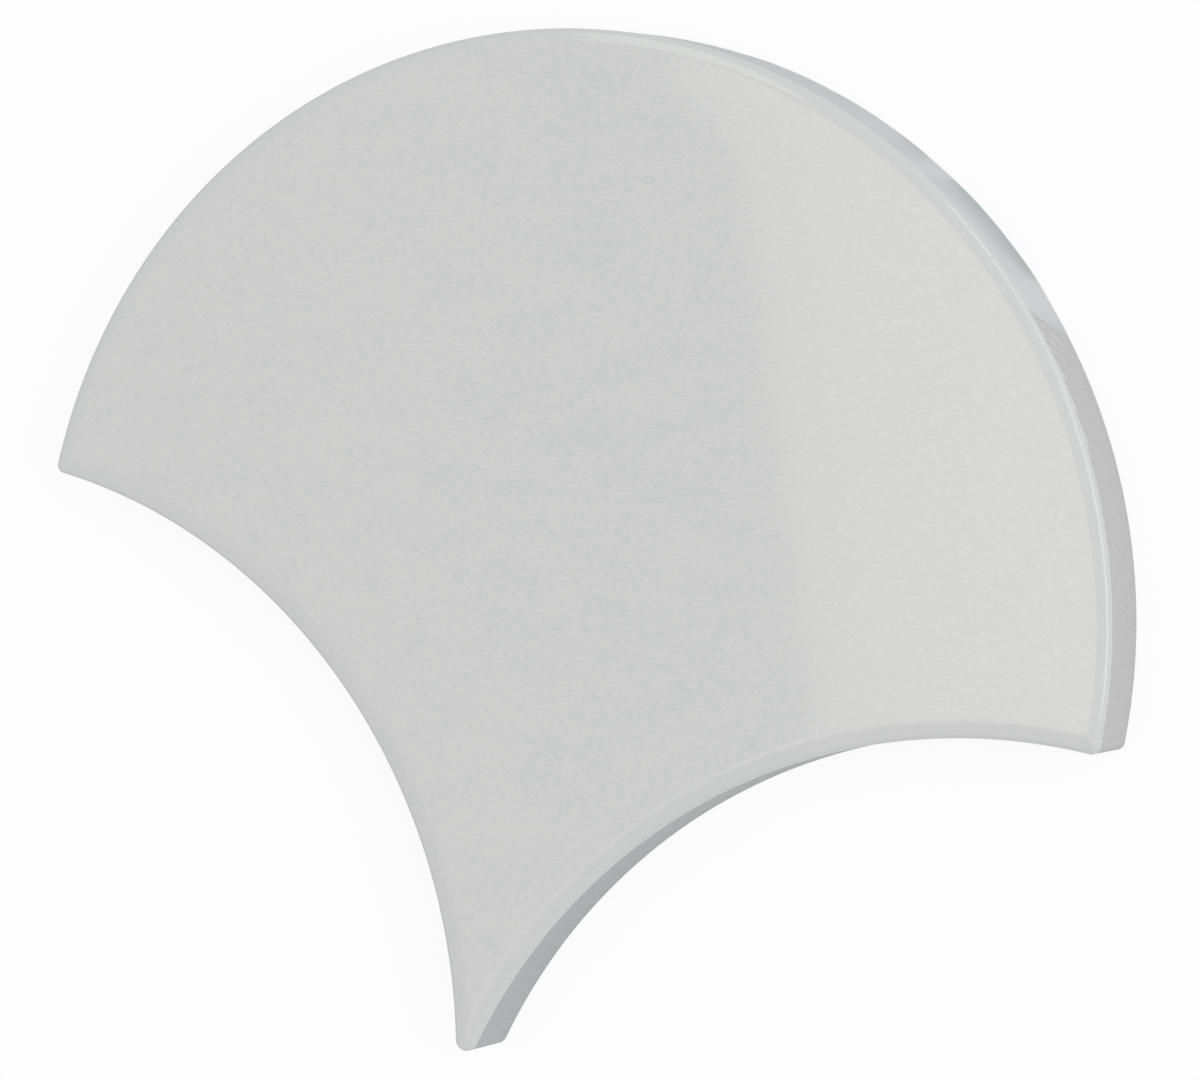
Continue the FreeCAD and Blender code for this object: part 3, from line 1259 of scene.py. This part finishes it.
@dataclass(frozen=True)
class Lamp:
    """One soft lamp: a flat, even light aimed at a spot."""

    name: str
    centre: Triple
    size: tuple[float, float]
    radiance: float
    aim: Triple = (0.0, 0.0, 0.0)
    turn: float = 0.0
    colour: Colour = (1.0, 1.0, 1.0, 1.0)
    gloss_only: bool = False

    def strength(self, graph: Graph) -> Operand:
        """Return the strength over the lamp, which is even."""
        return 1.0

    def build(self) -> None:
        """Hang the lamp."""
        light = bpy.data.lights.new(self.name, "AREA")
        light.shape = "RECTANGLE"
        light.size, light.size_y = self.size
        light.energy = self.radiance * math.pi * self.size[0] * self.size[1]
        light.use_nodes = True
        graph = Graph(light.node_tree)
        sockets = {"Color": self.colour, "Strength": self.strength(graph)}
        glow = graph.node("ShaderNodeEmission", None, sockets)[0]
        graph.node("ShaderNodeOutputLight", None, {"Surface": glow})
        lamp = bpy.data.objects.new(self.name, light)
        lamp.location = self.centre
        way = Vector(self.aim) - Vector(self.centre)
        lamp.rotation_mode = "QUATERNION"
        lamp.rotation_quaternion = way.to_track_quat("-Z", "Y") @ Euler((0, 0, self.turn)).to_quaternion()
        lamp.visible_camera = False
        lamp.visible_diffuse = not self.gloss_only
        bpy.context.scene.collection.objects.link(lamp)


@dataclass(frozen=True)
class StripLamp(Lamp):
    """A long soft lamp that glows up from a bent left edge, with a bar across it and a fading lower end."""

    margin: float = 0.040
    fade: float = 0.57
    fade_reach: float = 0.022
    bend_start: float = 0.363
    bend_slope: float = 0.7
    bend_limit: float = 0.018
    bar_start: float = 0.420
    bar_end: float = 0.591
    tail: float = 0.060

    def strength(self, graph: Graph) -> Operand:
        """Work out the strength over the lamp.

        Args:
            graph: the lamp's tree.

        Returns:
            The strength, from none outside the edge and on the bar to one well inside.
        """
        parts = graph.parts(graph.node("ShaderNodeNewGeometry")["Parametric"])
        along = parts["Y"] * self.size[1]
        bend = ((along - self.bend_start) * self.bend_slope).at_least(0.0).at_most(self.bend_limit)
        inside = parts["X"] * self.size[0] - self.margin + bend
        glow = 1 - self.fade * graph.math("EXPONENT", inside / -self.fade_reach)
        bar = (along > self.bar_start) * (1 - (along > self.bar_end))
        return glow * (inside > 0.0) * (1 - bar) * along.ease(0.0, self.tail)


@dataclass
class Studio:
    """Floor, sky, lamps and camera."""

    floor: PaleFloor = field(default_factory=PaleFloor)
    floor_half: float = 2.5
    floor_level: float = -0.02 * MM
    sky: float = 0.740
    sky_colour: Colour = (0.99, 1.0, 1.01, 1.0)
    camera_place: Triple = (0.2371878, 0.0847596, 0.5590986)
    camera_turn: Triple = (-2.0313, 23.9819, 13.0034)
    lens: float = 177.59
    sensor: float = 36.0
    clip_start: float = 0.01
    lamps: tuple[Lamp, ...] = (
        StripLamp(
            "strip",
            centre=(-0.4189, 0.2668, 1.0),
            size=(0.242, 1.264),
            radiance=1.55,
            aim=(-0.4189, 0.2668, 0.0),
            turn=math.radians(20.7),
            colour=(1.0, 0.99, 0.90, 1.0),
        ),
        Lamp("key", (1.11, 0.40, 0.92), (1.0, 1.0), 2.34),
        Lamp("rim", (0.505, 1.190, 0.115), (0.34, 0.16), 2.4),
        Lamp("card", (0.710, 1.053, 0.290), (0.74, 0.54), 2.2, gloss_only=True),
    )

    def build(self) -> None:
        """Set up the whole studio."""
        self._floor()
        self._sky()
        for lamp in self.lamps:
            lamp.build()
        self._camera()

    def _floor(self) -> None:
        """Lay the paper floor under the tile."""
        half = self.floor_half
        corners = [(-half, -half), (half, -half), (half, half), (-half, half)]
        mesh = bpy.data.meshes.new("floor")
        mesh.from_pydata([(*corner, self.floor_level) for corner in corners], [], [(0, 1, 2, 3)])
        mesh.materials.append(self.floor.material())
        floor = bpy.data.objects.new("floor", mesh)
        bpy.context.scene.collection.objects.link(floor)

    def _sky(self) -> None:
        """Fill the room with even, almost colourless light."""
        world = bpy.data.worlds.new("studio")
        world.use_nodes = True
        graph = Graph(world.node_tree)
        light = graph.node("ShaderNodeBackground", None, {"Color": self.sky_colour, "Strength": self.sky})[0]
        graph.node("ShaderNodeOutputWorld", None, {"Surface": light})
        bpy.context.scene.world = world

    def _camera(self) -> None:
        """Stand the camera where the tile was seen from."""
        data = bpy.data.cameras.new("camera")
        data.lens = self.lens
        data.sensor_width = self.sensor
        data.sensor_fit = "HORIZONTAL"
        data.clip_start = self.clip_start
        camera = bpy.data.objects.new("camera", data)
        camera.location = self.camera_place
        camera.rotation_euler = [math.radians(turn) for turn in self.camera_turn]
        bpy.context.scene.collection.objects.link(camera)
        bpy.context.scene.camera = camera


def main() -> None:
    """Build the tile and its studio, and note the size of both models."""
    logging.basicConfig(level=logging.INFO, format="%(name)s: %(message)s")
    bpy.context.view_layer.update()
    tile = ScaleTile().build()
    triangles = sum(len(face.vertices) - 2 for face in tile.data.polygons)
    LOG.info("%s: %d triangles", tile.name, triangles)
    studio = Studio()
    studio.build()
    LOG.info("studio: %d lamps", len(studio.lamps))
    bpy.context.scene.view_settings.view_transform = "Standard"
    bpy.context.view_layer.update()


if __name__ == "__main__":
    main()
